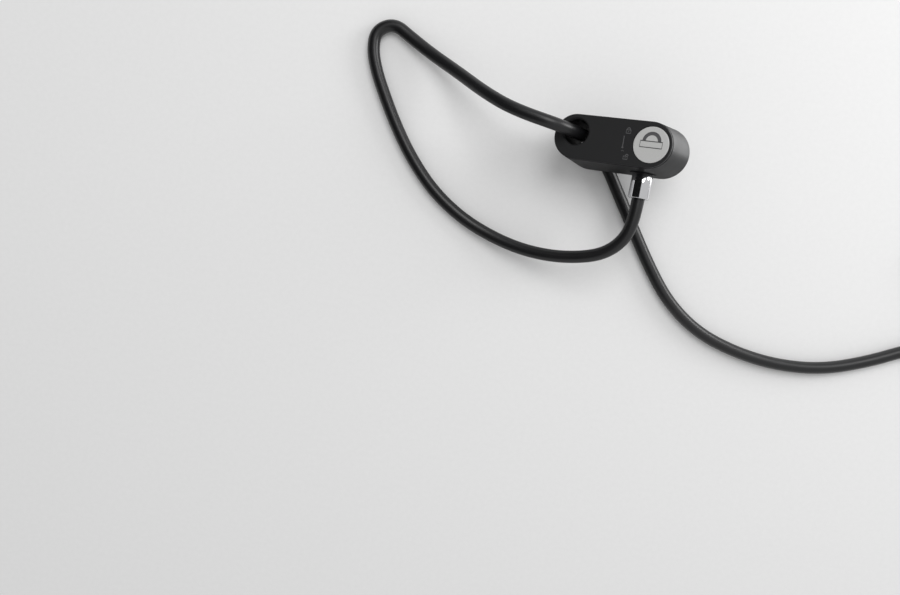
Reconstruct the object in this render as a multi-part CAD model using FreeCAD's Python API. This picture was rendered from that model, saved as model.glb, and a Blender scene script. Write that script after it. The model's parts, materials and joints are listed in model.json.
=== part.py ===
import FreeCAD, Part
import math
import os

from FreeCAD import Placement, Rotation, Vector

# A key-operated noose lock. A black plastic head holds a key cylinder at one end and has a hole right
# through it at the other. The steel cable leaves the plug at the head's side, makes a loop, comes back
# through the hole and ends in an eye. Turning the key frees the plug, which opens the loop.
#
# The head is drawn in its own axes: x along it, y across it, z out of its front face, the face at z = 0.
# Then it leans on the floor by LEAN, with the end that has the hole down. The cord's points are in the
# floor's frame, whose origin is under the middle of the head.

# ---- the head's shell ----
HALF = 23.3            # from the middle to the centre of each round end
FRONT_R = 13.6         # the front plate's round ends
BACK_R = 15.8          # the back cover's round ends
DEPTH = 36.0           # front face to back face
WALL = 1.9
PLATE = 2.2            # front plate
GROOVE = 0.5           # height of the shadow groove under the front plate
GROOVE_DEEP = 0.7
WEB = 1.7              # the shell's own front wall
COVER = 2.8            # back cover
PARTING = 0.2          # gap between the shell and the back cover's rim
EDGE = 0.5             # rounding of the front plate's edge
BACK_EDGE = 1.2
LEAN = 28.9            # degrees between the head and the floor

# ---- the hole that the cable runs through ----
HOLE_X = -HALF
HOLE_Y = 2.7
HOLE_R = 8.0
HOLE_CHAMFER = 0.9
LINER_WALL = 1.4
BELL_FROM = -21.0      # where the liner starts to open towards the back
BELL_OPENS = 2.5       # how much larger the bore is at the back
BELL_X = HOLE_X + 1.5  # the middle of the bore at the back
BELL_Y = HOLE_Y - 3.2

# ---- key cylinder ----
CORE_X = HALF + 1.1
FACE_R = 10.7
FACE_GAP = 0.3
FACE_T = 1.7
FACE_EDGE = 0.35
BARREL_R = 7.2
BARREL_END = -14.8
SLEEVE_WALL = 2.1
SLEEVE_FRONT = -2.0
SLEEVE_BACK = -14.5
RUN_FIT = 0.06         # radial clearance of what turns or slides
SEAT = 0.05            # clearance of what is pushed in and stays
KEYWAY_W = 13.4
KEYWAY_H = 3.6
KEY_SLOT_W = 9.6
KEY_SLOT_H = 2.4
SHUTTER_T = 0.8
SHUTTER_GAP = 0.12
HINGE_GAP = 0.35       # at the shutter's hinged edge
PIN_R = 0.45
KNUCKLE_R = 0.75        # the shutter's bar round its pin
ARC_OUT = 5.7
ARC_IN = 3.6
ARC_DEEP = 0.4
WAFERS = 5
WAFER_T = 1.0
WAFER_PITCH = 1.6
WAFER_FIRST = -6.6
WAFER_W = 2 * (BARREL_R - 1.7)
WAFER_H = 2 * (BARREL_R - 1.2)

# ---- cam and latch ----
CAM_R = 5.2
CAM_T = 1.8
CAM_PIN_R = 1.1
CAM_PIN_AT = 3.25
CAM_PIN_END = -20.6
CAM_PIN_ANGLE = 225.0
CLIP_R = 3.0
CLIP_T = 0.6
STUD_R = 1.8
LATCH_T = 1.4
LATCH_Y = -2.9
LATCH_GAP = 0.15
LATCH_SCREW_R = 1.0
CAM_PLAY = 0.8         # how far the cam's pin is drawn before it moves the latch

# ---- plug ----
PLUG_X = CORE_X - 8.4
PLUG_Z = -24.0
FERRULE_R = 6.45
FERRULE_END = -30.5
FERRULE_TOP = -11.4
PIN_BODY_R = 4.5
PIN_TIP = 6.0
PIN_NOSE = 1.4
PIN_GROOVE_R = 3.1
PIN_GROOVE_W = 2.6
PIN_TAIL_R = 2.6
ROPE_DEPTH = 13.5      # how far the cable goes into the ferrule
COLLAR_R = FERRULE_R + 1.85
COLLAR_OUT = 0.4
SEAL_T = 1.4
SEAL_R = FERRULE_R + 1.45
FERRULE_EDGE = 0.7

# ---- block and fasteners ----
BLOCK_R = 11.2
BLOCK_LEFT = 5.0
BLOCK_BACK = -DEPTH + COVER + 2.2
BLOCK_COVER_T = 1.4
SCREW_R = 1.1
SCREW_HEAD_R = 2.1
SCREW_HEAD_T = 1.4
SCREW_LONG = 8.0
BOSS_R = 2.7
INSERT_R = 1.8
INSERT_LONG = 5.0
BOSS_LONG = 12.0
WEB_HALF = 1.2         # half the thickness of the webs that join the bosses to the shell
BOSS_ROOM = 0.4        # clearance round the bosses and their webs
SCREWS = ((-4.0, 10.4), (-4.0, -10.4), (HALF + 10.0, 0.0))

# ---- cable ----
CORD_R = 4.0
ARC_SHARE = 0.45
COIL_AT = (275.4, -20.7)
COIL_IN = 28.0
COIL_OUT = 52.0
COIL_TALL = 8.0
EYE_BEND = 15.0        # the eye's round end, to the middle of the cable
EYE_LONG = 42.0
EYE_GAP = 8.6          # between the eye's two legs in the crimp, middle to middle
CRIMP_LONG = 20.0
CRIMP_W = 18.8
CRIMP_H = 9.6
BOOT_LONG = 16.0
TIE_W = 9.0
TIE_T = 1.2

# The cord's route, chosen by hand: out of the plug, round the loop on the floor, up over the head's end,
# through the hole, out below the head and along the floor to the coil.
NOOSE = (
    (16.07, -23.15, 36.7), (16.07, -38.0, 36.7), (12.0, -51.0, 34.5), (2.5, -60.5, 30.5), (-11.5, -65.5, 25.0),
    (-29.0, -68.0, 18.5), (-48.5, -67.0, 11.5), (-69.0, -62.0, 6.0), (-90.0, -53.5, 4.0), (-111.0, -39.5, 4.0),
    (-128.5, -21.0, 4.0), (-142.0, -2.0, 4.0), (-151.5, 14.0, 4.0), (-160.0, 29.5, 4.0), (-165.0, 43.5, 4.0),
    (-164.5, 55.5, 4.0), (-153.5, 61.5, 4.0), (-141.5, 54.5, 4.5), (-125.5, 45.5, 8.0), (-107.5, 36.0, 17.0),
    (-88.5, 24.5, 31.0), (-69.5, 16.0, 42.5),
)
OVER = (-34.05, 10.05, 46.15)       # above the hole's mouth, on the hole's axis
UNDER = (-10.77, 10.05, 4.0)       # below the hole's back, on the hole's axis
TAIL = (
    (16.4, -30.2, 4.0), (39.8, -65.0, 4.0), (57.5, -86.0, 4.0), (80.0, -101.5, 4.0), (107.5, -110.0, 4.0),
    (136.5, -113.5, 4.0), (166.5, -111.0, 4.0), (195.0, -101.0, 4.0), (222.0, -87.5, 4.0), (247.5, -78.5, 4.0),
    (270.0, -71.5, 4.0), (287.8, -67.1, 4.0),
)
RUN_OUT = (
    (307.4, -20.7, 12.0), (307.6, -2.0, 12.6), (308.6, 18.0, 12.3), (311.0, 37.0, 7.6), (313.5, 54.0, 4.0),
    (315.0, 70.0, 4.0),
)


def cyl(r, low, high, x=0.0, y=0.0):
    """A round bar along z."""
    return Part.makeCylinder(r, high - low, Vector(x, y, low))


def bar_y(r, low, high, x=PLUG_X, z=PLUG_Z):
    """A round bar along y."""
    return Part.makeCylinder(r, high - low, Vector(x, low, z), Vector(0, 1, 0))


def box(x0, x1, y0, y1, z0, z1):
    return Part.makeBox(x1 - x0, y1 - y0, z1 - z0, Vector(x0, y0, z0))


def joined(shapes):
    out = shapes[0].multiFuse(shapes[1:]) if len(shapes) > 1 else shapes[0]
    return out.removeSplitter()


def stadium(r, z, half=HALF):
    """The closed outline with straight sides and round ends."""
    a, b, c, d = Vector(-half, r, z), Vector(half, r, z), Vector(half, -r, z), Vector(-half, -r, z)
    right, left = Vector(half + r, 0, z), Vector(-half - r, 0, z)
    return Part.Wire([Part.LineSegment(a, b).toShape(), Part.Arc(b, right, c).toShape(),
                      Part.LineSegment(c, d).toShape(), Part.Arc(d, left, a).toShape()])


def slab(r, low, high, half=HALF):
    return Part.Face(stadium(r, low, half)).extrude(Vector(0, 0, high - low))


def tapered(r_low, low, r_high, high):
    return Part.makeLoft([stadium(r_low, low), stadium(r_high, high)], True, True)


def side_r(z):
    """The shell's outer round at depth z."""
    return FRONT_R + (BACK_R - FRONT_R) * min(1.0, -z / (DEPTH - COVER))


def rounded(shape, radius, wanted):
    """Rounds the edges that the test picks."""
    edges = [e for e in shape.Edges if wanted(e)]
    return shape.makeFillet(radius, edges)


def flat_at(z, reach):
    """Picks the edges that lie at height z and belong to an outline wider than reach."""
    return lambda e: (abs(e.BoundBox.ZMin - z) < 1e-3 and abs(e.BoundBox.ZMax - z) < 1e-3
                      and max(abs(e.BoundBox.YMin), abs(e.BoundBox.YMax)) > reach)


# ---- shell ----
def hole_space(r, low, high):
    return cyl(r, low, high, HOLE_X, HOLE_Y)


def bell(extra, top=BELL_FROM + 0.5, past=0.0):
    """The space in the liner, extra larger all round: a bore that opens out, off centre, towards the back."""
    def ring(z):
        share = max(0.0, (BELL_FROM - z) / (BELL_FROM + DEPTH))
        at = Vector(HOLE_X + (BELL_X - HOLE_X) * share, HOLE_Y + (BELL_Y - HOLE_Y) * share, z)
        return Part.Wire([Part.makeCircle(HOLE_R + (BELL_OPENS) * share + extra, at)])
    return Part.makeLoft([ring(top), ring(BELL_FROM), ring(-DEPTH - past)], True, True)


def front_cover():
    plate = rounded(slab(FRONT_R, -PLATE, 0.0), EDGE, flat_at(0.0, FRONT_R - 1.0))
    land = slab(FRONT_R - GROOVE_DEEP, -PLATE - GROOVE, -PLATE)
    out = joined([plate, land])
    out = out.cut(cyl(FACE_R + FACE_GAP, -DEPTH, 1.0, CORE_X))
    out = out.cut(hole_space(HOLE_R, -DEPTH, 1.0))
    return out.cut(Part.makeCone(HOLE_R, HOLE_R + 2 * HOLE_CHAMFER, 2 * HOLE_CHAMFER,
                                 Vector(HOLE_X, HOLE_Y, -HOLE_CHAMFER)))


def bosses():
    low = -DEPTH + COVER + PARTING
    out = []
    for x, y in SCREWS:
        post = cyl(BOSS_R, low, low + BOSS_LONG, x, y)
        if y:
            wall = math.copysign(side_r(low) - WALL / 2, y)
            web = box(x - WEB_HALF, x + WEB_HALF, min(y, wall), max(y, wall), low, low + BOSS_LONG)
        else:
            web = box(x, HALF + side_r(low) - WALL / 2, -WEB_HALF, WEB_HALF, low, low + BOSS_LONG)
        out += [post, web]
    return out


def insert_holes(r, long):
    low = -DEPTH + COVER + PARTING
    return [cyl(r, low - 0.01, low + long, x, y) for x, y in SCREWS]


def body_shell():
    top, low = -PLATE - GROOVE, -DEPTH + COVER + PARTING
    outer = tapered(side_r(low), low, side_r(top), top)
    inner = tapered(side_r(low) - WALL, low - 0.01, side_r(top) - WALL, top - WEB)
    shell = outer.cut(inner)
    reach = side_r(PLUG_Z)
    collar = bar_y(COLLAR_R, -reach - COLLAR_OUT, -reach + WALL + 0.6)
    collar = collar.common(box(0.0, HALF + BACK_R, -2 * BACK_R, 0.0, low, top))
    parts = [shell, collar] + [b.common(outer) for b in bosses()]
    out = joined(parts)
    out = out.cut(bar_y(FERRULE_R + RUN_FIT, -reach - 5.0, -BLOCK_R + 0.3))
    out = out.cut(bar_y(SEAL_R + SEAT, seal_y() - SEAT, seal_y() + SEAL_T + SEAT))
    out = out.cut(cyl(BARREL_R + SLEEVE_WALL + SEAT, top - WEB - 0.1, 1.0, CORE_X))
    out = out.cut(bell(LINER_WALL + SEAT, 1.0, 1.0))
    for h in insert_holes(INSERT_R + SEAT, INSERT_LONG):
        out = out.cut(h)
    for h in insert_holes(SCREW_R + 0.2, SCREW_LONG):
        out = out.cut(h)
    return out


def rear_cover():
    top = -DEPTH + COVER
    out = rounded(slab(BACK_R, -DEPTH, top), BACK_EDGE, flat_at(-DEPTH, BACK_R - 1.0))
    lip = slab(BACK_R - WALL - 0.5, top, top + PARTING)
    out = joined([out, lip])
    out = out.cut(bell(LINER_WALL + SEAT, 0.0, 1.0))
    for x, y in SCREWS:
        out = out.cut(cyl(SCREW_R + 0.15, -DEPTH - 1.0, 0.0, x, y))
        out = out.cut(cyl(SCREW_HEAD_R + 0.15, -DEPTH - 1.0, -DEPTH + SCREW_HEAD_T, x, y))
    return out


def cable_liner():
    """Keeps the cable off the shell, and opens out to the back, where the cable turns."""
    return bell(LINER_WALL, -PLATE - GROOVE).cut(bell(0.0, 1.0, 1.0))


def cover_screws():
    out = []
    for x, y in SCREWS:
        head = cyl(SCREW_HEAD_R, -DEPTH + 0.1, -DEPTH + SCREW_HEAD_T - SEAT, x, y)
        shank = cyl(SCREW_R, -DEPTH + 0.2, -DEPTH + SCREW_LONG, x, y)
        socket = cyl(0.9, -DEPTH, -DEPTH + 0.9, x, y)
        out.append(joined([head, shank]).cut(socket))
    return Part.makeCompound(out)


def screw_inserts():
    low = -DEPTH + COVER + PARTING
    return Part.makeCompound([cyl(INSERT_R, low + SEAT, low + INSERT_LONG - SEAT, x, y).cut(
        cyl(SCREW_R + SEAT, low - 1.0, 0.0, x, y)) for x, y in SCREWS])


# ---- key cylinder ----
def shutter_pocket():
    """Room in the face and behind it for the shutter to swing inwards."""
    w = KEYWAY_W / 2 + SHUTTER_GAP
    return box(CORE_X - w, CORE_X + w, -KEYWAY_H / 2 - SHUTTER_GAP, KEYWAY_H / 2 + HINGE_GAP,
               -KEYWAY_H - 1.3, 1.0)


def pin_y():
    return KEYWAY_H / 2 - KNUCKLE_R + 0.05


def pin_z():
    return -SHUTTER_T - PIN_R + 0.25


def lock_core():
    face = cyl(FACE_R, -FACE_T, 0.0, CORE_X)
    face = rounded(face, FACE_EDGE, lambda e: abs(e.BoundBox.ZMin) < 1e-3 and abs(e.BoundBox.ZMax) < 1e-3)
    barrel = cyl(BARREL_R, BARREL_END, -FACE_T, CORE_X)
    stud = cyl(STUD_R, BARREL_END - CAM_T - CLIP_T - 0.3, BARREL_END, CORE_X)
    out = joined([face, barrel, stud])
    out = out.cut(shutter_pocket())
    out = out.cut(box(CORE_X - KEY_SLOT_W / 2, CORE_X + KEY_SLOT_W / 2, -KEY_SLOT_H / 2, KEY_SLOT_H / 2,
                      BARREL_END + 0.8, -1.0))
    out = out.cut(Part.makeCylinder(PIN_R + 0.02, KEYWAY_W + 2.0,
                                    Vector(CORE_X - KEYWAY_W / 2 - 1.0, pin_y(), pin_z()), Vector(1, 0, 0)))
    for k in range(WAFERS):
        z = WAFER_FIRST - k * WAFER_PITCH
        out = out.cut(box(CORE_X - WAFER_W / 2 - 0.05, CORE_X + WAFER_W / 2 + 0.05, -BARREL_R, BARREL_R,
                          z - WAFER_T / 2 - 0.05, z + WAFER_T / 2 + 0.05))
    low = KEYWAY_H / 2 + HINGE_GAP
    ring = cyl(ARC_OUT, -ARC_DEEP, 1.0, CORE_X, low - 0.2)
    ring = ring.cut(cyl(ARC_IN, -1.0, 2.0, CORE_X, low - 0.2))
    out = out.cut(ring.common(box(CORE_X - ARC_OUT, CORE_X + ARC_OUT, low, FACE_R, -1.0, 1.0)))
    flat = STUD_R - 0.4
    return out.cut(box(CORE_X + flat, CORE_X + 4.0, -4.0, 4.0, BARREL_END - CAM_T - 0.05, BARREL_END - 0.001))


def spring(at, way, ring_r, wire_r, turns, pitch):
    """A closely wound spring, its turns pressed together, from the place at along way."""
    return joined([Part.makeTorus(ring_r, wire_r, at + way * (pitch * k), way) for k in range(turns)])


def wafer_x(side):
    return CORE_X + side * (WAFER_W / 2 - 1.1)


def wafer_springs():
    """One small spring in each side of each wafer."""
    out = []
    for k in range(WAFERS):
        z = WAFER_FIRST - k * WAFER_PITCH
        for side in (-1, 1):
            out.append(spring(Vector(wafer_x(side), -1.4, z), Vector(0, 1, 0), 0.3, 0.17, 9, 0.3))
    return Part.makeCompound(out)


def shutter_spring():
    """Pushes the shutter shut from behind."""
    return spring(Vector(CORE_X + 4.6, -0.9, -KEYWAY_H - 1.1), Vector(0, 0, 1), 0.5, 0.2, 10, 0.37)


def wafers():
    out = []
    for k in range(WAFERS):
        z = WAFER_FIRST - k * WAFER_PITCH
        plate = box(CORE_X - WAFER_W / 2, CORE_X + WAFER_W / 2, -WAFER_H / 2, WAFER_H / 2,
                    z - WAFER_T / 2, z + WAFER_T / 2)
        plate = plate.common(cyl(BARREL_R - 0.15, z - WAFER_T, z + WAFER_T, CORE_X))
        window = box(CORE_X - 3.3, CORE_X + 3.3, -2.4, 2.4, z - WAFER_T, z + WAFER_T)
        plate = plate.cut(window)
        for side in (-1, 1):
            x = wafer_x(side)
            plate = plate.cut(box(x - 0.55, x + 0.55, -1.9, 1.9, z - WAFER_T, z + WAFER_T))
        out.append(plate)
    return Part.makeCompound(out)


def cylinder_sleeve():
    out = cyl(BARREL_R + SLEEVE_WALL, SLEEVE_BACK, SLEEVE_FRONT, CORE_X)
    return out.cut(cyl(BARREL_R + RUN_FIT, -DEPTH, 1.0, CORE_X))


def keyway_shutter():
    half = KEYWAY_W / 2
    plate = box(CORE_X - half, CORE_X + half, -KEYWAY_H / 2, KEYWAY_H / 2, -SHUTTER_T - 0.1, -0.1)
    knuckle = Part.makeCylinder(KNUCKLE_R, KEYWAY_W, Vector(CORE_X - KEYWAY_W / 2, pin_y(), pin_z()),
                                Vector(1, 0, 0))
    out = joined([plate, knuckle])
    return out.cut(Part.makeCylinder(PIN_R + 0.05, KEYWAY_W + 2.0,
                                     Vector(CORE_X - KEYWAY_W / 2 - 1.0, pin_y(), pin_z()), Vector(1, 0, 0)))


def shutter_pin():
    return Part.makeCylinder(PIN_R, KEYWAY_W + 1.6, Vector(CORE_X - KEYWAY_W / 2 - 0.8, pin_y(), pin_z()),
                             Vector(1, 0, 0))


# ---- cam and latch ----
def cam_pin():
    """The place of the cam's pin, which stands off the core's axis."""
    a = math.radians(CAM_PIN_ANGLE)
    return CORE_X + CAM_PIN_AT * math.cos(a), CAM_PIN_AT * math.sin(a)


def core_cam():
    top = BARREL_END - 0.02
    low = BARREL_END - CAM_T
    out = joined([cyl(CAM_R, low, top, CORE_X), cyl(CAM_PIN_R, CAM_PIN_END, low, *cam_pin())])
    stud = cyl(STUD_R + 0.03, low - 1.0, top + 1.0, CORE_X)
    return out.cut(stud.cut(box(CORE_X + STUD_R - 0.37, CORE_X + 4.0, -4.0, 4.0, -DEPTH, 0.0)))


def cam_clip():
    top = BARREL_END - CAM_T - 0.02
    out = cyl(CLIP_R, top - CLIP_T, top, CORE_X).cut(cyl(STUD_R + 0.02, -DEPTH, 0.0, CORE_X))
    out = out.cut(box(CORE_X, CORE_X + 4.0, -0.7, 0.7, -DEPTH, 0.0))
    return out.cut(cyl(CAM_PIN_R + 0.1, -DEPTH, 0.0, *cam_pin()))


def latch_spring():
    """A leaf whose fork holds the plug by its groove. Its tab is pushed aside by the cam's pin."""
    y0, y1 = LATCH_Y - LATCH_T / 2, LATCH_Y + LATCH_T / 2
    gap = PIN_GROOVE_R + LATCH_GAP
    fork = box(PLUG_X - 2.0, PLUG_X + 13.0, y0, y1, PLUG_Z - 4.4, PLUG_Z + 3.2)
    slot = box(PLUG_X - 9.0, PLUG_X, y0 - 1, y1 + 1, PLUG_Z - gap, PLUG_Z + gap)
    seat = bar_y(gap, y0 - 1.0, y1 + 1.0)
    tab = box(PLUG_X + 3.6, PLUG_X + 13.0, y0, y1 + 3.4, PLUG_Z + 3.2, PLUG_Z + 4.4)
    x, y = cam_pin()
    hole = joined([cyl(CAM_PIN_R + LATCH_GAP, -DEPTH, 0.0, x, y),
                   cyl(CAM_PIN_R + LATCH_GAP, -DEPTH, 0.0, x, y + CAM_PLAY)])
    leaf = box(PLUG_X + 11.8, PLUG_X + 13.0, y0, 4.6, PLUG_Z - 4.4, PLUG_Z + 1.0)
    out = joined([fork, tab, leaf])
    out = out.cut(slot).cut(seat).cut(hole)
    return out.cut(latch_bar(LATCH_SCREW_R + 0.1, 10.0, 6.0))


def latch_bar(r, start, long):
    """A round bar along x on the latch screw's axis."""
    return Part.makeCylinder(r, long, Vector(PLUG_X + start, 3.0, PLUG_Z - 1.7), Vector(1, 0, 0))


def latch_screw():
    return joined([latch_bar(1.6, 10.95, 0.8), latch_bar(LATCH_SCREW_R, 11.7, 3.2)])


# ---- plug ----
def plug_pin():
    body = bar_y(PIN_BODY_R, FERRULE_TOP, PIN_TIP)
    body = body.makeChamfer(PIN_NOSE, [e for e in body.Edges if abs(e.BoundBox.YMin - PIN_TIP) < 1e-3])
    tail = bar_y(PIN_TAIL_R, FERRULE_END + ROPE_DEPTH, FERRULE_TOP)
    out = joined([body, tail])
    groove = bar_y(PIN_BODY_R + 1.0, LATCH_Y - PIN_GROOVE_W / 2, LATCH_Y + PIN_GROOVE_W / 2)
    return out.cut(groove.cut(bar_y(PIN_GROOVE_R, -20.0, 20.0)))


def plug_ferrule():
    out = bar_y(FERRULE_R, FERRULE_END, FERRULE_TOP)
    out = out.makeFillet(FERRULE_EDGE, [e for e in out.Edges if abs(e.BoundBox.YMax - FERRULE_END) < 1e-3])
    out = out.cut(bar_y(PIN_TAIL_R + SEAT, -20.0, 0.0))
    return out.cut(bar_y(CORD_R + SEAT, FERRULE_END - 1.0, FERRULE_END + ROPE_DEPTH + 0.05))


def rope_end():
    return bar_y(CORD_R, FERRULE_END, FERRULE_END + ROPE_DEPTH - 0.05)


def seal_y():
    return -side_r(PLUG_Z) + 0.5


def socket_seal():
    ring = bar_y(SEAL_R, seal_y(), seal_y() + SEAL_T)
    return ring.cut(bar_y(FERRULE_R + RUN_FIT, -40.0, 0.0))


# ---- block ----
def lock_block():
    top = -PLATE - GROOVE - WEB - 0.1
    out = slab(BLOCK_R, BLOCK_BACK, top).common(box(BLOCK_LEFT, 60.0, -30.0, 30.0, -DEPTH, 0.0))
    out = out.cut(cyl(BARREL_R + SLEEVE_WALL + SEAT, SLEEVE_BACK - SEAT, 1.0, CORE_X))
    out = out.cut(cyl(max(CAM_R, BARREL_R) + 0.4, PLUG_Z + 5.0, 0.0, CORE_X))
    out = out.cut(box(PLUG_X - 6.0, PLUG_X + 13.3, LATCH_Y - 1.5, 5.2, BLOCK_BACK - 1.0, PLUG_Z + 5.2))
    out = out.cut(bar_y(PIN_BODY_R + RUN_FIT, -40.0, PIN_TIP + 0.6))
    out = out.cut(bar_y(FERRULE_R + 0.3, -40.0, FERRULE_TOP + 0.4))
    out = out.cut(latch_bar(LATCH_SCREW_R + SEAT, 12.0, 4.5))
    for x, y in SCREWS:
        out = out.cut(cyl(BOSS_R + BOSS_ROOM, -DEPTH, boss_top() + BOSS_ROOM, x, y))
    return out.cut(end_web_room(boss_top() + BOSS_ROOM))


def boss_top():
    return -DEPTH + COVER + PARTING + BOSS_LONG


def end_web_room(high):
    """Room for the web that joins the end screw's boss to the shell."""
    half = WEB_HALF + BOSS_ROOM
    return box(SCREWS[-1][0], HALF + BACK_R, -half, half, -DEPTH, high)


def block_cover():
    out = slab(BLOCK_R - 0.4, BLOCK_BACK - BLOCK_COVER_T, BLOCK_BACK - 0.02).common(
        box(BLOCK_LEFT + 0.4, 60.0, -30.0, 30.0, -DEPTH, 0.0))
    return out.cut(cyl(BOSS_R + BOSS_ROOM, -DEPTH, 0.0, *SCREWS[-1])).cut(end_web_room(0.0))


# ---- cable ----
def tube(points, radius, name, first=None, last=None):
    """A round bar along straight runs joined by tangent arcs. Prints the arcs' radii.

    first and last are the whole lengths of the end runs, where the bar stops halfway along one.
    """
    pts = [Vector(*p) for p in points]
    runs = [a.distanceToPoint(b) for a, b in zip(pts, pts[1:])]
    runs[0], runs[-1] = first or runs[0], last or runs[-1]
    edges, at, radii = [], pts[0], []
    for k, (a, b, c) in enumerate(zip(pts, pts[1:], pts[2:])):
        u, v = (a - b).normalize(), (c - b).normalize()
        half_turn = (math.pi - u.getAngle(v)) / 2
        cut = ARC_SHARE * min(runs[k], runs[k + 1])
        r = cut / math.tan(half_turn)
        radii.append(round(r, 1))
        start, end = b + u * cut, b + v * cut
        middle = b + (u + v).normalize() * (r / math.cos(half_turn) - r)
        edges.append(Part.LineSegment(at, start).toShape())
        edges.append(Part.Arc(start, middle, end).toShape())
        at = end
    edges.append(Part.LineSegment(at, pts[-1]).toShape())
    path = Part.Wire(edges)
    ring = Part.Wire([Part.makeCircle(radius, pts[0], pts[1] - pts[0])])
    out = path.makePipeShell([ring], True, False)
    print(name, "length %.0f" % path.Length, "volume over section times length %.4f"
          % (out.Volume / (math.pi * radius ** 2 * path.Length)), "radii", radii)
    return out


def between(a, b):
    return tuple((p + q) / 2 for p, q in zip(a, b))


def through():
    """The length of the run along the hole's axis, in the middle of which the two solids meet."""
    return math.dist(OVER, UNDER)


def cable_noose():
    return tube(NOOSE + (OVER, between(OVER, UNDER)), CORD_R, "cable_noose", last=through())


def cable_tail():
    return tube((between(OVER, UNDER), UNDER) + TAIL, CORD_R, "cable_tail", first=through())


def cable_coil():
    """The outer shape of three turns side by side on the floor."""
    x, y = COIL_AT
    ring = cyl(COIL_OUT, 0.0, COIL_TALL, x, y).cut(cyl(COIL_IN, -1.0, COIL_TALL + 1.0, x, y))
    return ring.makeFillet(3.0, [e for e in ring.Edges if e.BoundBox.ZLength < 1e-3])


def cable_run_out():
    return tube(RUN_OUT, CORD_R, "cable_run_out")


def coil_tie():
    """A strap with hook and loop, closed round the coil."""
    x, y = COIL_AT
    x0, x1 = x - COIL_OUT - TIE_T, x - COIL_IN + TIE_T
    outer = box(x0, x1, y - TIE_W / 2, y + TIE_W / 2, 0.0, COIL_TALL + 2 * TIE_T)
    outer = outer.makeFillet(3.4, [e for e in outer.Edges if e.BoundBox.YLength > TIE_W - 0.1])
    inner = box(x0 + TIE_T, x1 - TIE_T, y - TIE_W, y + TIE_W, TIE_T, COIL_TALL + TIE_T)
    return outer.cut(inner.makeFillet(2.4, [e for e in inner.Edges if e.BoundBox.YLength > 2 * TIE_W - 0.1]))


def eye_place():
    """Where the cord goes into the crimp. The eye lies flat, on in the run-out's own direction."""
    end = Vector(*RUN_OUT[-1])
    way = (end - Vector(*RUN_OUT[-2])).normalize()
    return Placement(end, Rotation(Vector(0, 1, 0), Vector(way.x, way.y, 0)))


def eye_boot():
    """A soft sleeve that tapers on to the cord in front of the crimp, flat where it lies on the floor."""
    way = Vector(0, 1, 0)
    out = Part.makeCone(CORD_R + 0.9, CORD_R + 2.2, BOOT_LONG, Vector(0, -BOOT_LONG, 0), way)
    out = out.cut(box(-2 * CORD_R, 2 * CORD_R, -2 * BOOT_LONG, BOOT_LONG, -4 * CORD_R, -CORD_R))
    out = out.cut(Part.makeCylinder(CORD_R + SEAT, BOOT_LONG + 2.0, Vector(0, -BOOT_LONG - 1.0, 0), way))
    out.Placement = eye_place()
    return out


def eye_crimp():
    x = EYE_GAP / 2
    out = box(x - CRIMP_W / 2, x + CRIMP_W / 2, 0.0, CRIMP_LONG, -CORD_R, CRIMP_H - CORD_R)
    out = out.makeFillet(3.6, [e for e in out.Edges if e.BoundBox.YLength > CRIMP_LONG - 0.1])
    out.Placement = eye_place()
    return out


def cable_eye():
    """The cord's end, bent round and back into the crimp."""
    y0, y1 = CRIMP_LONG, CRIMP_LONG + EYE_LONG
    middle = EYE_GAP / 2
    pts = [(0.0, y0, 0), (0.0, y0 + 5.0, 0), (middle - EYE_BEND * 0.8, y0 + 15.0, 0),
           (middle - EYE_BEND, y1 - EYE_BEND, 0), (middle - EYE_BEND * 0.62, y1, 0),
           (middle + EYE_BEND * 0.62, y1 + 0.2, 0), (middle + EYE_BEND, y1 - EYE_BEND, 0),
           (middle + EYE_BEND * 0.8, y0 + 15.0, 0), (EYE_GAP, y0 + 5.0, 0), (EYE_GAP, y0, 0)]
    out = tube(pts, CORD_R, "cable_eye")
    out.Placement = eye_place()
    return out


HEAD = {
    "front_cover": front_cover, "body_shell": body_shell, "rear_cover": rear_cover, "cable_liner": cable_liner,
    "lock_block": lock_block, "block_cover": block_cover, "cylinder_sleeve": cylinder_sleeve,
    "lock_core": lock_core, "keyway_shutter": keyway_shutter, "shutter_pin": shutter_pin,
    "shutter_spring": shutter_spring, "wafers": wafers, "wafer_springs": wafer_springs,
    "core_cam": core_cam, "cam_clip": cam_clip,
    "latch_spring": latch_spring, "latch_screw": latch_screw, "plug_pin": plug_pin,
    "plug_ferrule": plug_ferrule, "rope_end": rope_end, "socket_seal": socket_seal,
    "cover_screws": cover_screws, "screw_inserts": screw_inserts,
}
CORD = {
    "cable_noose": cable_noose, "cable_tail": cable_tail, "cable_coil": cable_coil,
    "cable_run_out": cable_run_out, "coil_tie": coil_tie, "eye_boot": eye_boot, "eye_crimp": eye_crimp,
    "cable_eye": cable_eye,
}


def main():
    os.makedirs("parts", exist_ok=True)
    shapes = {name: make() for name, make in HEAD.items()}
    lean = Rotation(Vector(0, 1, 0), -LEAN)
    whole = Part.makeCompound(list(shapes.values()))
    whole.Placement = Placement(Vector(0, 0, 0), lean)
    room = whole.optimalBoundingBox(False, False)
    move = Vector(-room.Center.x, -room.Center.y, -room.ZMin)
    print("front face's middle", [round(v, 2) for v in move])
    for name, shape in shapes.items():
        shape.Placement = Placement(move, lean)
    for name, make in CORD.items():
        shapes[name] = make()
    for name, shape in shapes.items():
        if not shape.isValid():
            print("not valid", name)
        shape.exportStep("parts/%s.step" % name)
        print(name, len(shape.Solids), "solids", round(shape.Volume, 1))


main()
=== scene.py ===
import json
import math

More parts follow.
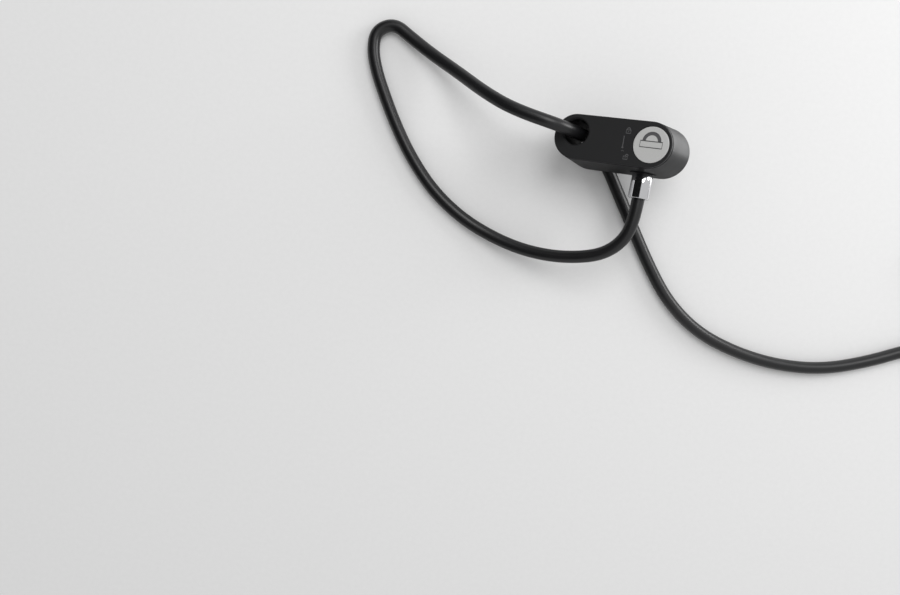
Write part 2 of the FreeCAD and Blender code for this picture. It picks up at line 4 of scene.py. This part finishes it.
import bpy
from mathutils import Euler, Matrix, Vector
from mathutils.kdtree import KDTree
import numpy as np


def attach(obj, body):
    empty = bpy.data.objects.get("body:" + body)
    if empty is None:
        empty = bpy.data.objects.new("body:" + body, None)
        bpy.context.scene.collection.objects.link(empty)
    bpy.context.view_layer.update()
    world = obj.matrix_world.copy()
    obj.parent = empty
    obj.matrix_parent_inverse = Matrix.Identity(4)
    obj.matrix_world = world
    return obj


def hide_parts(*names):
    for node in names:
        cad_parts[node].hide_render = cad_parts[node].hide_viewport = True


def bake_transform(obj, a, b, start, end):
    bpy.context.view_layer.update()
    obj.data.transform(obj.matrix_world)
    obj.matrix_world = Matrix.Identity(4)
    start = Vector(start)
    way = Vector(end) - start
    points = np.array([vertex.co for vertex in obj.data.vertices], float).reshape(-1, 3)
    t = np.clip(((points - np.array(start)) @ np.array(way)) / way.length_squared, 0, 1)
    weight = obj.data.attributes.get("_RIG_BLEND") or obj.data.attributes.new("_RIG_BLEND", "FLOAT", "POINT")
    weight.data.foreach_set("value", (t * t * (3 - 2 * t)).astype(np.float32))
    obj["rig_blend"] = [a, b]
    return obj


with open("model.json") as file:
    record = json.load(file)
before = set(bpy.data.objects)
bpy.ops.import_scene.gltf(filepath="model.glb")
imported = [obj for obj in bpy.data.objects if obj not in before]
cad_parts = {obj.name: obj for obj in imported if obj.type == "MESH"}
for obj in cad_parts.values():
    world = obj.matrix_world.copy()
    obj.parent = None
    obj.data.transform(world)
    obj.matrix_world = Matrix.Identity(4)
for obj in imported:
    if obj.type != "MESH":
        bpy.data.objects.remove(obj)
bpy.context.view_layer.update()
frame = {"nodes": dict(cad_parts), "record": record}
MM = 0.001

# Sizes below are in millimetres and angles in degrees, except where a line says otherwise.

# ---- the lock head's own axes, as in the design: x along it, y across it, z out of its front face ----
LEAN = 28.9
FACE_MIDDLE = (-9.54, 7.35, 49.98)
CORE_X = 24.4
HEAD = Matrix.Translation(Vector(FACE_MIDDLE) * MM) @ Matrix.Rotation(math.radians(-LEAN), 4, "Y")


# ---- mesh helpers ----
DISC_SIDES = 24


def mesh_piece(name, verts, faces, place, body, smooth_angle=35.0):
    """A mesh drawn in millimetres in the axes of place, which rides on body."""
    data = bpy.data.meshes.new(name)
    data.from_pydata([place @ (Vector(v) * MM) for v in verts], [], faces)
    data.update()
    data.shade_smooth()
    data.set_sharp_from_angle(angle=math.radians(smooth_angle))
    out = bpy.data.objects.new(name, data)
    bpy.context.scene.collection.objects.link(out)
    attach(out, body)
    return out


def arc(x, y, radius, start, end, steps):
    """Points on a round stretch from one angle to another, with both ends."""
    turns = [math.radians(start + (end - start) * k / steps) for k in range(steps + 1)]
    return [(x + radius * math.cos(a), y + radius * math.sin(a)) for a in turns]


def circle(x, y, radius, sides):
    return arc(x, y, radius, 0, 360, sides)[:-1]


def band(first, second, sides):
    """The faces between two rings of vertices, given each ring's first vertex."""
    return [(first + k, first + (k + 1) % sides, second + (k + 1) % sides, second + k) for k in range(sides)]


def lathe(profile, sides):
    """Turns a closed profile of (radius, place along z) points into verts and faces."""
    verts = [(*p, along) for radius, along in profile for p in circle(0.0, 0.0, radius, sides)]
    faces = []
    for i in range(len(profile)):
        faces += band(i * sides, (i + 1) % len(profile) * sides, sides)
    return verts, faces


def ribbon(points, width, closed):
    """A flat line of even width through 2-D points: its left and right edges."""
    left, right = [], []
    count = len(points)
    for k, p in enumerate(points):
        before = points[k - 1] if (k or closed) else p
        after = points[(k + 1) % count] if (k + 1 < count or closed) else p
        way = Vector((after[0] - before[0], after[1] - before[1])).normalized() * (width / 2)
        left.append((p[0] - way.y, p[1] + way.x))
        right.append((p[0] + way.y, p[1] - way.x))
    return left, right


def raised_line(points, width, low, high, closed=False):
    """Verts and faces of a thin raised line with flat top and upright sides."""
    left, right = ribbon(points, width, closed)
    count = len(points)
    verts = []
    for a, b in zip(left, right):
        verts += [(*a, low), (*a, high), (*b, high), (*b, low)]
    faces = []
    for k in range(count if closed else count - 1):
        faces += band(4 * k, 4 * ((k + 1) % count), 4)
    if not closed:
        last = 4 * (count - 1)
        faces += [(3, 2, 1, 0), (last, last + 1, last + 2, last + 3)]
    return verts, faces


def raised_disc(x, y, radius, low, high):
    ring = circle(x, y, radius, DISC_SIDES)
    verts = [(*p, low) for p in ring] + [(*p, high) for p in ring]
    ends = [tuple(reversed(range(DISC_SIDES))), tuple(range(DISC_SIDES, 2 * DISC_SIDES))]
    return verts, ends + band(0, DISC_SIDES, DISC_SIDES)


def joined(pieces):
    """Several (verts, faces) pairs as one."""
    verts, faces = [], []
    for more, their_faces in pieces:
        faces += [tuple(i + len(verts) for i in f) for f in their_faces]
        verts += more
    return verts, faces


# ---- camera: nearly straight down on the lock as it lies, with its place in metres ----
CAMERA_AT = (-0.0965, -0.0557, 0.5566)
CAMERA_TIP, CAMERA_TURN = -5.4, 10.1
CAMERA_LENS = 33.36
CAMERA_SENSOR = 36.0
CAMERA_NEAREST = 0.01


def make_camera():
    data = bpy.data.cameras.new("camera")
    data.sensor_width = CAMERA_SENSOR
    data.lens = CAMERA_LENS
    data.clip_start = CAMERA_NEAREST
    camera = bpy.data.objects.new("camera", data)
    camera.location = CAMERA_AT
    camera.rotation_euler = Euler((math.radians(CAMERA_TIP), 0.0, math.radians(CAMERA_TURN)))
    bpy.context.scene.collection.objects.link(camera)
    bpy.context.scene.camera = camera


make_camera()

# ---- the cable's route: the loop, the head's hole, the tail, the coil, and the run out to the eye ----
CORD_R = 4.0 * MM
NOOSE = (
    (16.07, -23.15, 36.7), (16.07, -38.0, 36.7), (12.0, -51.0, 34.5), (2.5, -60.5, 30.5),
    (-11.5, -65.5, 25.0), (-29.0, -68.0, 18.5), (-48.5, -67.0, 11.5), (-69.0, -62.0, 6.0),
    (-90.0, -53.5, 4.0), (-111.0, -39.5, 4.0), (-128.5, -21.0, 4.0), (-142.0, -2.0, 4.0),
    (-151.5, 14.0, 4.0), (-160.0, 29.5, 4.0), (-165.0, 43.5, 4.0), (-164.5, 55.5, 4.0),
    (-153.5, 61.5, 4.0), (-141.5, 54.5, 4.5), (-125.5, 45.5, 8.0), (-107.5, 36.0, 17.0),
    (-88.5, 24.5, 31.0), (-69.5, 16.0, 42.5),
)
OVER = (-34.05, 10.05, 46.15)
UNDER = (-10.77, 10.05, 4.0)
TAIL = (
    (16.4, -30.2, 4.0), (39.8, -65.0, 4.0), (57.5, -86.0, 4.0), (80.0, -101.5, 4.0),
    (107.5, -110.0, 4.0), (136.5, -113.5, 4.0), (166.5, -111.0, 4.0), (195.0, -101.0, 4.0),
    (222.0, -87.5, 4.0), (247.5, -78.5, 4.0), (270.0, -71.5, 4.0), (287.8, -67.1, 4.0),
)
# The run out starts at the coil's end, so the route leaves out its first point.
RUN_OUT = (
    (307.4, -20.7, 12.0), (307.6, -2.0, 12.6), (308.6, 18.0, 12.3), (311.0, 37.0, 7.6),
    (313.5, 54.0, 4.0), (315.0, 70.0, 4.0),
)
COIL_AT = (275.4, -20.7)
COIL_RINGS = (48.0, 40.0, 32.0)     # the turns' radii, to the middle of the cable
COIL_START, COIL_TURN, COIL_STEP = -75.0, 1155.0, 22.5
MOVE_IN = 0.2                       # the last share of a turn, in which the cable moves to the next ring
CLIMB_FROM, CLIMB_LONG = 2.7, 0.3   # in turns: where the cable starts to climb, and for how long
COIL_LOW, CLIMB = 4.0, 8.0
CRIMP_LONG = 20.0
EYE_LONG = 42.0
EYE_BEND = 15.0
EYE_GAP = 8.6                       # between the eye's two legs in the crimp
EYE_NECK, EYE_SHOULDER = 5.0, 15.0  # from the crimp to the end of the straight, and to the shoulder
SHOULDER_OUT, TOP_OUT = 0.8, 0.62   # how far out the shoulder and the top are, as shares of EYE_BEND
EYE_TILT = 0.2                      # how much further out the top's second point is
LEG_IN, LEG_BACK_IN = 4.0, 8.0      # how far the two legs' last points are inside the crimp
CORD_ROUND = 8
CORD_STEPS = 10
PULL_LONG = 0.26                    # in metres


def smooth(t):
    """From 0 to 1 with a level start and end."""
    t = min(1.0, max(0.0, t))
    return t * t * (3 - 2 * t)


def coil_points():
    """Three turns side by side on the floor, each inside the last. The end lifts over them to get out."""
    # The curve runs a little inside its points, by this share of their radius.
    drawn_in = 0.75 + 0.25 * math.cos(math.radians(COIL_STEP))
    innermost = len(COIL_RINGS) - 1
    out = []
    for k in range(1, int(COIL_TURN / COIL_STEP) + 1):
        turned = k * COIL_STEP / 360.0
        ring = min(innermost, int(turned))
        step_in = COIL_RINGS[min(innermost, ring + 1)] - COIL_RINGS[ring]
        r = (COIL_RINGS[ring] + step_in * smooth((turned - ring - 1 + MOVE_IN) / MOVE_IN)) / drawn_in
        a = math.radians(COIL_START + k * COIL_STEP)
        lift = CLIMB * smooth((turned - CLIMB_FROM) / CLIMB_LONG)
        out.append((COIL_AT[0] + r * math.cos(a), COIL_AT[1] + r * math.sin(a), COIL_LOW + lift))
    return out


def crimp_axes():
    """Where the crimp starts, the way along it and the way across it to the eye's other leg."""
    end, before = Vector(RUN_OUT[-1]), Vector(RUN_OUT[-2])
    way = (end - before).normalized()
    return end, way, Vector((way.y, -way.x, 0.0))


def eye_points():
    """The cable through the crimp, round the eye and back into the crimp."""
    end, way, side = crimp_axes()
    foot, top, middle = CRIMP_LONG, CRIMP_LONG + EYE_LONG, EYE_GAP / 2
    shoulder, top_side = EYE_BEND * SHOULDER_OUT, EYE_BEND * TOP_OUT
    flat = [(0.0, foot - LEG_IN), (0.0, foot + EYE_NECK), (middle - shoulder, foot + EYE_SHOULDER),
            (middle - EYE_BEND, top - EYE_BEND), (middle - top_side, top),
            (middle + top_side, top + EYE_TILT), (middle + EYE_BEND, top - EYE_BEND),
            (middle + shoulder, foot + EYE_SHOULDER), (EYE_GAP, foot + EYE_NECK),
            (EYE_GAP, foot - LEG_BACK_IN)]
    return [tuple(end + side * x + way * y) for x, y in flat]


def cord_mesh(points, radius):
    """The mesh of a smooth round cord on these control points. With no radius it is the centre line."""
    data = bpy.data.curves.new("route", "CURVE")
    data.dimensions = "3D"
    data.bevel_depth = radius
    data.bevel_resolution = CORD_ROUND
    data.use_fill_caps = True
    spline = data.splines.new("NURBS")
    spline.points.add(len(points) - 1)
    for p, at in zip(spline.points, points):
        p.co = (at[0] * MM, at[1] * MM, at[2] * MM, 1.0)
    spline.order_u = 3
    spline.use_endpoint_u = True
    spline.resolution_u = CORD_STEPS
    route = bpy.data.objects.new("route", data)
    bpy.context.scene.collection.objects.link(route)
    made = bpy.data.meshes.new_from_object(route.evaluated_get(bpy.context.evaluated_depsgraph_get()))
    bpy.data.objects.remove(route)
    return made


def give_at_the_plug(piece, middle):
    """The cable's first stretch goes along with the plug, less and less over PULL_LONG of its length."""
    start = middle[0]
    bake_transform(piece, "cable_plug", "lock_head", start, start + Vector((0.0, -PULL_LONG, 0.0)))
    # No one direction tells this stretch from the rest of the cable, so each weight goes by length.
    along = [0.0]
    for before, after in zip(middle, middle[1:]):
        along.append(along[-1] + (after - before).length)
    near = KDTree(len(middle))
    for k, at in enumerate(middle):
        near.insert(at, k)
    near.balance()
    weights = piece.data.attributes["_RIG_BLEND"].data
    for vert, weight in zip(piece.data.vertices, weights):
        weight.value = smooth(along[near.find(vert.co)[1]] / PULL_LONG)


# ---- the sleeve on both legs of the eye: a rounded block with two pressed bands ----
CRIMP_W, CRIMP_H = 18.8, 9.6
CRIMP_SIDES = 72
CRIMP_SQUARE = 3.2      # the outline's power: 2 is an ellipse, and more is squarer
# Places along the sleeve, each with the sleeve's size there as a share of the whole.
CRIMP_END = ((0.0, 0.9), (0.25, 0.95), (0.7, 0.985), (1.3, 1.0))
CRIMP_BAND = ((0.0, 1.0), (0.5, 0.985), (1.1, 0.94), (3.3, 0.94), (3.9, 0.985), (4.4, 1.0))
CRIMP_BANDS_AT = (4.6, 11.0)
CRIMP_SHARP = 40.0


def crimp_sizes():
    """From one rounded end over both bands to the other end."""
    out = list(CRIMP_END)
    for at in CRIMP_BANDS_AT:
        out += [(at + along, share) for along, share in CRIMP_BAND]
    return out + [(CRIMP_LONG - along, share) for along, share in reversed(CRIMP_END)]


def pressed_crimp():
    end, way, side = crimp_axes()
    sizes = crimp_sizes()
    verts = []
    for along, share in sizes:
        for c, s in circle(0.0, 0.0, 1.0, CRIMP_SIDES):
            reach = share * (abs(c) ** CRIMP_SQUARE + abs(s) ** CRIMP_SQUARE) ** (-1 / CRIMP_SQUARE) / 2
            at = end + way * along + side * (EYE_GAP / 2 + CRIMP_W * reach * c)
            verts.append((at.x, at.y, CRIMP_H / 2 + CRIMP_H * reach * s))
    faces = []
    for i in range(len(sizes) - 1):
        faces += band(i * CRIMP_SIDES, (i + 1) * CRIMP_SIDES, CRIMP_SIDES)
    last = (len(sizes) - 1) * CRIMP_SIDES
    faces += [tuple(reversed(range(CRIMP_SIDES))), tuple(range(last, last + CRIMP_SIDES))]
    out = mesh_piece("crimp_pressed", verts, faces, Matrix.Identity(4), "lock_head",
                     CRIMP_SHARP)
    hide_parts("eye_crimp")
    return out


crimp = pressed_crimp()

# ---- the cable, in one piece from the plug to the eye ----
CABLE_SHARP = 50.0
ROUTE = list(NOOSE) + [OVER, UNDER] + list(TAIL) + coil_points() + list(RUN_OUT[1:]) + eye_points()
line = [v.co.copy() for v in cord_mesh(ROUTE, 0.0).vertices]
cable = bpy.data.objects.new("cable", cord_mesh(ROUTE, CORD_R))
cable.data.name = "cable"
cable.data.shade_smooth()
cable.data.set_sharp_from_angle(angle=math.radians(CABLE_SHARP))
bpy.context.scene.collection.objects.link(cable)
give_at_the_plug(cable, line)
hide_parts("cable_noose", "cable_tail", "cable_coil", "cable_run_out", "cable_eye")

# ---- the chromed ferrule, turned, in place of the faceted one ----
PLUG_X, PLUG_Z = 16.0, -24.0
FERRULE_R, FERRULE_END, FERRULE_TOP = 6.45, -30.5, -11.4
FERRULE_EDGE = 0.7
FERRULE_RINGS = (4.0, 9.0)      # where the straight outside has rings of its own
TOP_BEVEL = 0.2
MOUTH_R, MOUTH_EDGE = 4.12, 0.35
BORE_STOP = 5.0                 # how far below the top the cable's bore starts to narrow
PIN_TAIL_R, PIN_DEEP = 2.65, 1.0
FERRULE_SIDES = 160
FERRULE_SHARP = 50.0


def chrome_ferrule():
    """Profile from the outer edge at the cable's end, up the outside, and back down through the bore."""
    long = FERRULE_TOP - FERRULE_END
    profile = arc(FERRULE_R - FERRULE_EDGE, FERRULE_EDGE, FERRULE_EDGE, -90, 0, 8)
    profile += [(FERRULE_R, along) for along in FERRULE_RINGS]
    profile += [(FERRULE_R, long - TOP_BEVEL), (FERRULE_R - TOP_BEVEL, long)]
    profile += [(PIN_TAIL_R, long), (PIN_TAIL_R, long - PIN_DEEP), (MOUTH_R, long - BORE_STOP)]
    profile += arc(MOUTH_R + MOUTH_EDGE, MOUTH_EDGE, MOUTH_EDGE, 180, 270, 6)
    verts, faces = lathe(profile, FERRULE_SIDES)
    cable_end = Matrix.Translation(Vector((PLUG_X, FERRULE_END, PLUG_Z)) * MM)
    place = HEAD @ cable_end @ Matrix.Rotation(math.radians(-90), 4, "X")
    outward = [face[::-1] for face in faces]
    out = mesh_piece("ferrule_chromed", verts, outward, place, "cable_plug", FERRULE_SHARP)
    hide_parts("plug_ferrule")
    return out


ferrule = chrome_ferrule()

# ---- the small signs moulded on the front face: a closed lock, a key's path and an open lock ----
SIGN_LOW, SIGN_HIGH = -0.05, 0.06
SIGN_LINE = 0.5
CLOSED_AT, CLOSED_SIZE = (9.55, 6.71), 3.3
OPEN_AT, OPEN_SIZE = (10.53, -8.79), 3.0
BOW_ASIDE = 0.75
# A padlock's own measures, as shares of its size: half the box's width and height, and its drop.
BOX_W, BOX_H, BOX_DROP = 0.42, 0.3, 0.16
BOW_W = 0.6             # the bow's radius, as a share of half the box's width
BOW_LEG = 0.14          # the bow's straight legs, as a share of the padlock's size
KEYHOLE_R = 0.3
KEY_PATH = ((7.47, 3.51), (7.5, 2.0), (7.56, 0.2), (7.6, -1.6), (7.62, -3.34))
PATH_DOT_R = 0.62
HOOK_AT, HOOK_R, HOOK_LINE = (8.04, -5.9), 0.75, 0.3


def padlock(at, size, aside):
    """A box with a bow over it. The open one has its bow set aside, and that bow has no right leg."""
    x, y = at
    w, h = size * BOX_W, size * BOX_H
    bottom, top = y - size * BOX_DROP - h, y - size * BOX_DROP + h
    box = [(x - w, bottom), (x + w, bottom), (x + w, top), (x - w, top)]
    bow_r = w * BOW_W
    bow = [(x - bow_r + aside, top)] + arc(x + aside, top + size * BOW_LEG, bow_r, 180, 0, 12)
    if not aside:
        bow.append((x + bow_r, top))
    return joined([raised_line(box, SIGN_LINE, SIGN_LOW, SIGN_HIGH, True),
                   raised_disc(x, bottom + h, KEYHOLE_R, SIGN_LOW, SIGN_HIGH),
                   raised_line(bow, SIGN_LINE, SIGN_LOW, SIGN_HIGH)])


def signs():
    verts, faces = joined([
        padlock(CLOSED_AT, CLOSED_SIZE, 0.0),
        padlock(OPEN_AT, OPEN_SIZE, BOW_ASIDE),
        raised_line(KEY_PATH, SIGN_LINE, SIGN_LOW, SIGN_HIGH),
        raised_disc(*KEY_PATH[-1], PATH_DOT_R, SIGN_LOW, SIGN_HIGH),
        raised_line(arc(*HOOK_AT, HOOK_R, 20, 160, 8), HOOK_LINE, SIGN_LOW, SIGN_HIGH),
    ])
    return mesh_piece("face_signs", verts, faces, HEAD, "lock_head")


face_signs = signs()

# ---- the dark half ring let into the core's face, and the painted shade of the gap round the shutter ----
ARC_OUT, ARC_IN, ARC_DEEP = 5.7, 3.6, 0.4
ARC_SINK = 0.2                          # the half ring's middle is this far inside the shutter's mouth
INLAY_GAP, INLAY_START = 0.05, 0.06     # left free along the recess's round walls, and at its ends
INLAY_UNDER, INLAY_TOP = 0.02, 0.1      # below and above the recess's floor
INLAY_STEPS = 48
KEYWAY_W, KEYWAY_H, HINGE_GAP, SHUTTER_GAP = 13.4, 3.6, 0.35, 0.12
EDGE_LINE = 0.5
EDGE_INSIDE = 0.35                      # the line's middle is this share of its width inside the mouth
EDGE_LOW, EDGE_HIGH = -0.06, 0.02
CORE_SHARP = 30.0


def core_inlay():
    """A thin half ring that lies on the floor of the recess. Its dark grey makes the recess darker than the
    core's face round it.
    """
    centre = KEYWAY_H / 2 + HINGE_GAP - ARC_SINK
    flat = []
    for radius in (ARC_OUT - INLAY_GAP, ARC_IN + INLAY_GAP):
        start = math.degrees(math.asin((ARC_SINK + INLAY_START) / radius))
        flat += arc(CORE_X, centre, radius, start, 180 - start, INLAY_STEPS)
    verts = [(*p, -ARC_DEEP - INLAY_UNDER) for p in flat] + [(*p, -ARC_DEEP + INLAY_TOP) for p in flat]
    count = INLAY_STEPS + 1
    layer = 2 * count
    faces = []
    for k in range(INLAY_STEPS):
        faces.append((layer + k, layer + k + 1, layer + count + k + 1, layer + count + k))
        faces.append((k + 1, k, count + k, count + k + 1))
        faces.append((k, k + 1, layer + k + 1, layer + k))
        faces.append((count + k + 1, count + k, layer + count + k, layer + count + k + 1))
    faces.append((0, layer, layer + count, count))
    faces.append((count - 1, 2 * count - 1, layer + 2 * count - 1, layer + count - 1))
    return mesh_piece("core_inlay", verts, faces, HEAD, "key_core", CORE_SHARP)


def keyway_gap_shade():
    """A dark line round the shutter's mouth in the core's face: painted shade of the gap between the shutter
    and the core.
    """
    inside = EDGE_LINE * EDGE_INSIDE
    x = KEYWAY_W / 2 + SHUTTER_GAP - inside
    low = -KEYWAY_H / 2 - SHUTTER_GAP + inside
    high = KEYWAY_H / 2 + HINGE_GAP - inside
    corners = [(CORE_X - x, low), (CORE_X + x, low), (CORE_X + x, high), (CORE_X - x, high)]
    verts, faces = raised_line(corners, EDGE_LINE, EDGE_LOW, EDGE_HIGH, True)
    return mesh_piece("keyway_gap_shade", verts, faces, HEAD, "key_core", CORE_SHARP)


inlay = core_inlay()
# Painted shade of the gap round the shutter.
edge = keyway_gap_shade()

# ---- materials: a fine grain as bump, a small spread of colour, and a wide soft cloud in the gloss ----
GRAIN_DETAIL = 3.0
SPECKLE_FROM, SPECKLE_TO = 0.3, 0.7     # the part of the grain over which the colour changes
BUMP_STRENGTH = 0.5
CLOUD_SIZE, CLOUD_DETAIL = 9.0, 2.0


def noise(tree, size, detail):
    place = tree.nodes.new("ShaderNodeTexCoord")
    out = tree.nodes.new("ShaderNodeTexNoise")
    out.inputs["Scale"].default_value = 1.0 / (size * MM)
    out.inputs["Detail"].default_value = detail
    tree.links.new(place.outputs["Object"], out.inputs["Vector"])
    return out.outputs["Fac"]


def speckled(tree, fine, colour, speckle):
    """The colour, a little darker and lighter with the grain."""
    ramp = tree.nodes.new("ShaderNodeValToRGB")
    dark, light = ramp.color_ramp.elements
    dark.position, light.position = SPECKLE_FROM, SPECKLE_TO
    dark.color = (*[c * (1 - speckle) for c in colour], 1.0)
    light.color = (*[c * (1 + speckle) for c in colour], 1.0)
    tree.links.new(fine, ramp.inputs["Fac"])
    return ramp.outputs["Color"]


def clouded(tree, rough, cloud):
    """The roughness, a little less and more from place to place."""
    spread = tree.nodes.new("ShaderNodeMapRange")
    spread.inputs["To Min"].default_value = rough * (1 - cloud)
    spread.inputs["To Max"].default_value = rough * (1 + cloud)
    tree.links.new(noise(tree, CLOUD_SIZE, CLOUD_DETAIL), spread.inputs["Value"])
    return spread.outputs["Result"]


def plain_material(name, colour, rough, metal=0.0, grain=0.0, grain_size=0.25, speckle=0.0, cloud=0.0,
                   specular=0.5, ior=1.5):
    """A finish. What is the same all over is set on the shader itself."""
    finish = bpy.data.materials.new(name)
    finish.use_nodes = True
    tree = finish.node_tree
    shader = tree.nodes["Principled BSDF"].inputs
    shader["Base Color"].default_value = (*colour, 1.0)
    shader["Roughness"].default_value = rough
    shader["Metallic"].default_value = metal
    shader["Specular IOR Level"].default_value = specular
    shader["IOR"].default_value = ior
    fine = noise(tree, grain_size, GRAIN_DETAIL) if speckle or grain else None
    if speckle:
        tree.links.new(speckled(tree, fine, colour, speckle), shader["Base Color"])
    if cloud:
        tree.links.new(clouded(tree, rough, cloud), shader["Roughness"])
    if grain:
        bump = tree.nodes.new("ShaderNodeBump")
        bump.inputs["Strength"].default_value = BUMP_STRENGTH
        bump.inputs["Distance"].default_value = grain * MM
        tree.links.new(fine, bump.inputs["Height"])
        tree.links.new(bump.outputs["Normal"], shader["Normal"])
    return finish


FINISHES = {
    "face_plastic": dict(colour=(0.017, 0.0172, 0.018), rough=0.6, grain=0.04, speckle=0.12, cloud=0.08,
                         specular=0.32),
    "shell_plastic": dict(colour=(0.0115, 0.0117, 0.0125), rough=0.46, grain=0.025, speckle=0.1, cloud=0.1,
                          specular=0.4, ior=1.3),
    "liner_plastic": dict(colour=(0.004, 0.004, 0.004), rough=0.6, cloud=0.1, specular=0.2),
    "zinc_casting": dict(colour=(0.42, 0.42, 0.43), rough=0.5, metal=1.0, grain=0.05, speckle=0.08),
    "plain_steel": dict(colour=(0.5, 0.5, 0.51), rough=0.34, metal=1.0, grain=0.01, speckle=0.05),
    "spring_steel": dict(colour=(0.38, 0.38, 0.4), rough=0.28, metal=1.0, speckle=0.05),
    "brass_parts": dict(colour=(0.7, 0.5, 0.22), rough=0.3, metal=1.0, speckle=0.05, cloud=0.15),
    "satin_face": dict(colour=(0.67, 0.67, 0.66), rough=0.45, metal=0.35, grain=0.012, speckle=0.05,
                       cloud=0.08),
    "chrome_plate": dict(colour=(0.78, 0.78, 0.8), rough=0.07, metal=1.0, cloud=0.2),
    "rope_steel": dict(colour=(0.4, 0.4, 0.41), rough=0.4, metal=1.0, speckle=0.1),
    "soft_rubber": dict(colour=(0.022, 0.022, 0.022), rough=0.6, grain=0.03, speckle=0.1),
    "cable_pvc": dict(colour=(0.009, 0.009, 0.0098), rough=0.34, grain=0.006, grain_size=0.6, speckle=0.08,
                      cloud=0.15),
    "tie_strap": dict(colour=(0.02, 0.02, 0.023), rough=0.85, grain=0.15, grain_size=0.5, speckle=0.4),
    "crimp_metal": dict(colour=(0.55, 0.55, 0.56), rough=0.36, metal=1.0, grain=0.02, speckle=0.06,
                        cloud=0.12),
}
SIGN_GREY = dict(colour=(0.085, 0.085, 0.088), rough=0.6, grain=0.01, speckle=0.1)
# Darker grey on the floor of the half-ring recess than on the core's face round it.
RECESS_GREY = dict(colour=(0.14, 0.14, 0.145), rough=0.45, metal=0.4, grain=0.01, speckle=0.06)
# Painted shade: the grey of the line that stands for the dark gap round the shutter.
GAP_SHADE_GREY = dict(colour=(0.09, 0.09, 0.092), rough=0.4, metal=0.4, grain=0.01, speckle=0.06)
FLOOR_PAINT = dict(colour=(0.76, 0.76, 0.76), rough=0.8, grain_size=3.0, speckle=0.01, specular=0.0)
material = {slot: plain_material(slot, **look) for slot, look in FINISHES.items()}


def dress(piece, finish):
    piece.data.materials.clear()
    piece.data.materials.append(finish)


for part in frame["record"]["subparts"]:
    dress(frame["nodes"][part["node"]], material[part["material_slot"]])
dress(cable, material["cable_pvc"])
dress(crimp, material["crimp_metal"])
dress(ferrule, material["chrome_plate"])
dress(face_signs, plain_material("sign_grey", **SIGN_GREY))
dress(inlay, plain_material("recess_grey", **RECESS_GREY))
dress(edge, plain_material("gap_shade_grey", **GAP_SHADE_GREY))

# ---- the floor, the cards that paint shade and a highlight into the shiny parts' reflections, and the light, with their places in metres ----
FLOOR_SIZE = 6.0
# Painted shade: a near-black sheet up on the left, which the shiny parts show only as a dark reflection.
SHADE_CARD = ((-0.35, -0.5, 0.02), (-0.35, 0.5, 0.02), (-0.06, 0.5, 0.62), (-0.06, -0.5, 0.62))
# Painted shade: a grey sheet just over the floor below the head, which darkens the floor's reflection on the
# shell's lower side.
LOW_SHADE_CARD = ((-0.12, -0.3, 0.0004), (0.05, -0.3, 0.0004), (0.05, 0.0, 0.0004), (-0.12, 0.0, 0.0004))
# Painted highlight: a glowing sheet just over the floor to the right, no lamp, which puts a bright
# reflection on the shell's right end and the chrome.
HIGHLIGHT_CARD = ((0.075, 0.012, 0.0006), (0.3, -0.01, 0.0006), (0.28, 0.2, 0.0006), (0.06, 0.1, 0.0006))
CARD_ROUGH = 0.9
WHITE = (1.0, 1.0, 1.0, 1.0)
WORLD_LIGHT = 0.6


def make_floor():
    bpy.ops.mesh.primitive_plane_add(size=FLOOR_SIZE, location=(0, 0, 0))
    floor = bpy.context.object
    floor.name = "floor"
    floor.data.materials.append(plain_material("floor_paint", **FLOOR_PAINT))


def card(name, corners, grey, glow=0.0):
    """A sheet that only reflections show, as painted shade or, where it glows, a painted highlight. The
    camera doesn't see it, and it lights no matt surface.
    """
    data = bpy.data.meshes.new(name)
    data.from_pydata(corners, [], [(0, 1, 2, 3)])
    sheet = bpy.data.objects.new(name, data)
    bpy.context.scene.collection.objects.link(sheet)
    paint = plain_material(name + "_paint", (grey, grey, grey), CARD_ROUGH, specular=0.0)
    shader = paint.node_tree.nodes["Principled BSDF"].inputs
    shader["Emission Color"].default_value = WHITE
    shader["Emission Strength"].default_value = glow
    data.materials.append(paint)
    sheet.visible_camera = False
    sheet.visible_shadow = False
    sheet.visible_diffuse = False


def area_light(name, at, to, size, power):
    data = bpy.data.lights.new(name, "AREA")
    data.shape = "DISK"
    data.size = size
    data.energy = power
    lamp = bpy.data.objects.new(name, data)
    lamp.location = at
    lamp.rotation_euler = (Vector(to) - Vector(at)).to_track_quat("-Z", "Y").to_euler()
    bpy.context.scene.collection.objects.link(lamp)


def make_world():
    world = bpy.data.worlds.new("studio")
    world.use_nodes = True
    background = world.node_tree.nodes["Background"].inputs
    background["Color"].default_value = WHITE
    background["Strength"].default_value = WORLD_LIGHT
    bpy.context.scene.world = world


make_floor()
# Painted shade in the reflections, from a near-black sheet.
card("reflected_shade_card", SHADE_CARD, grey=0.01)
# Painted shade in the reflections of the shell's lower side, from a grey sheet.
card("low_reflected_shade_card", LOW_SHADE_CARD, grey=0.5)
# A painted highlight in the reflections, from a sheet that glows though it is no lamp.
card("reflected_highlight_card", HIGHLIGHT_CARD, grey=0.8, glow=3.0)
area_light("side_light", at=(0.8, 0.45, 0.4), to=(0.0, 0.0, 0.03), size=0.5, power=4.0)
area_light("top_light", at=(0.1, 0.7, 1.4), to=(0.05, 0.0, 0.0), size=1.1, power=10.0)
make_world()
bpy.context.scene.view_settings.view_transform = "Standard"

bpy.context.view_layer.update()
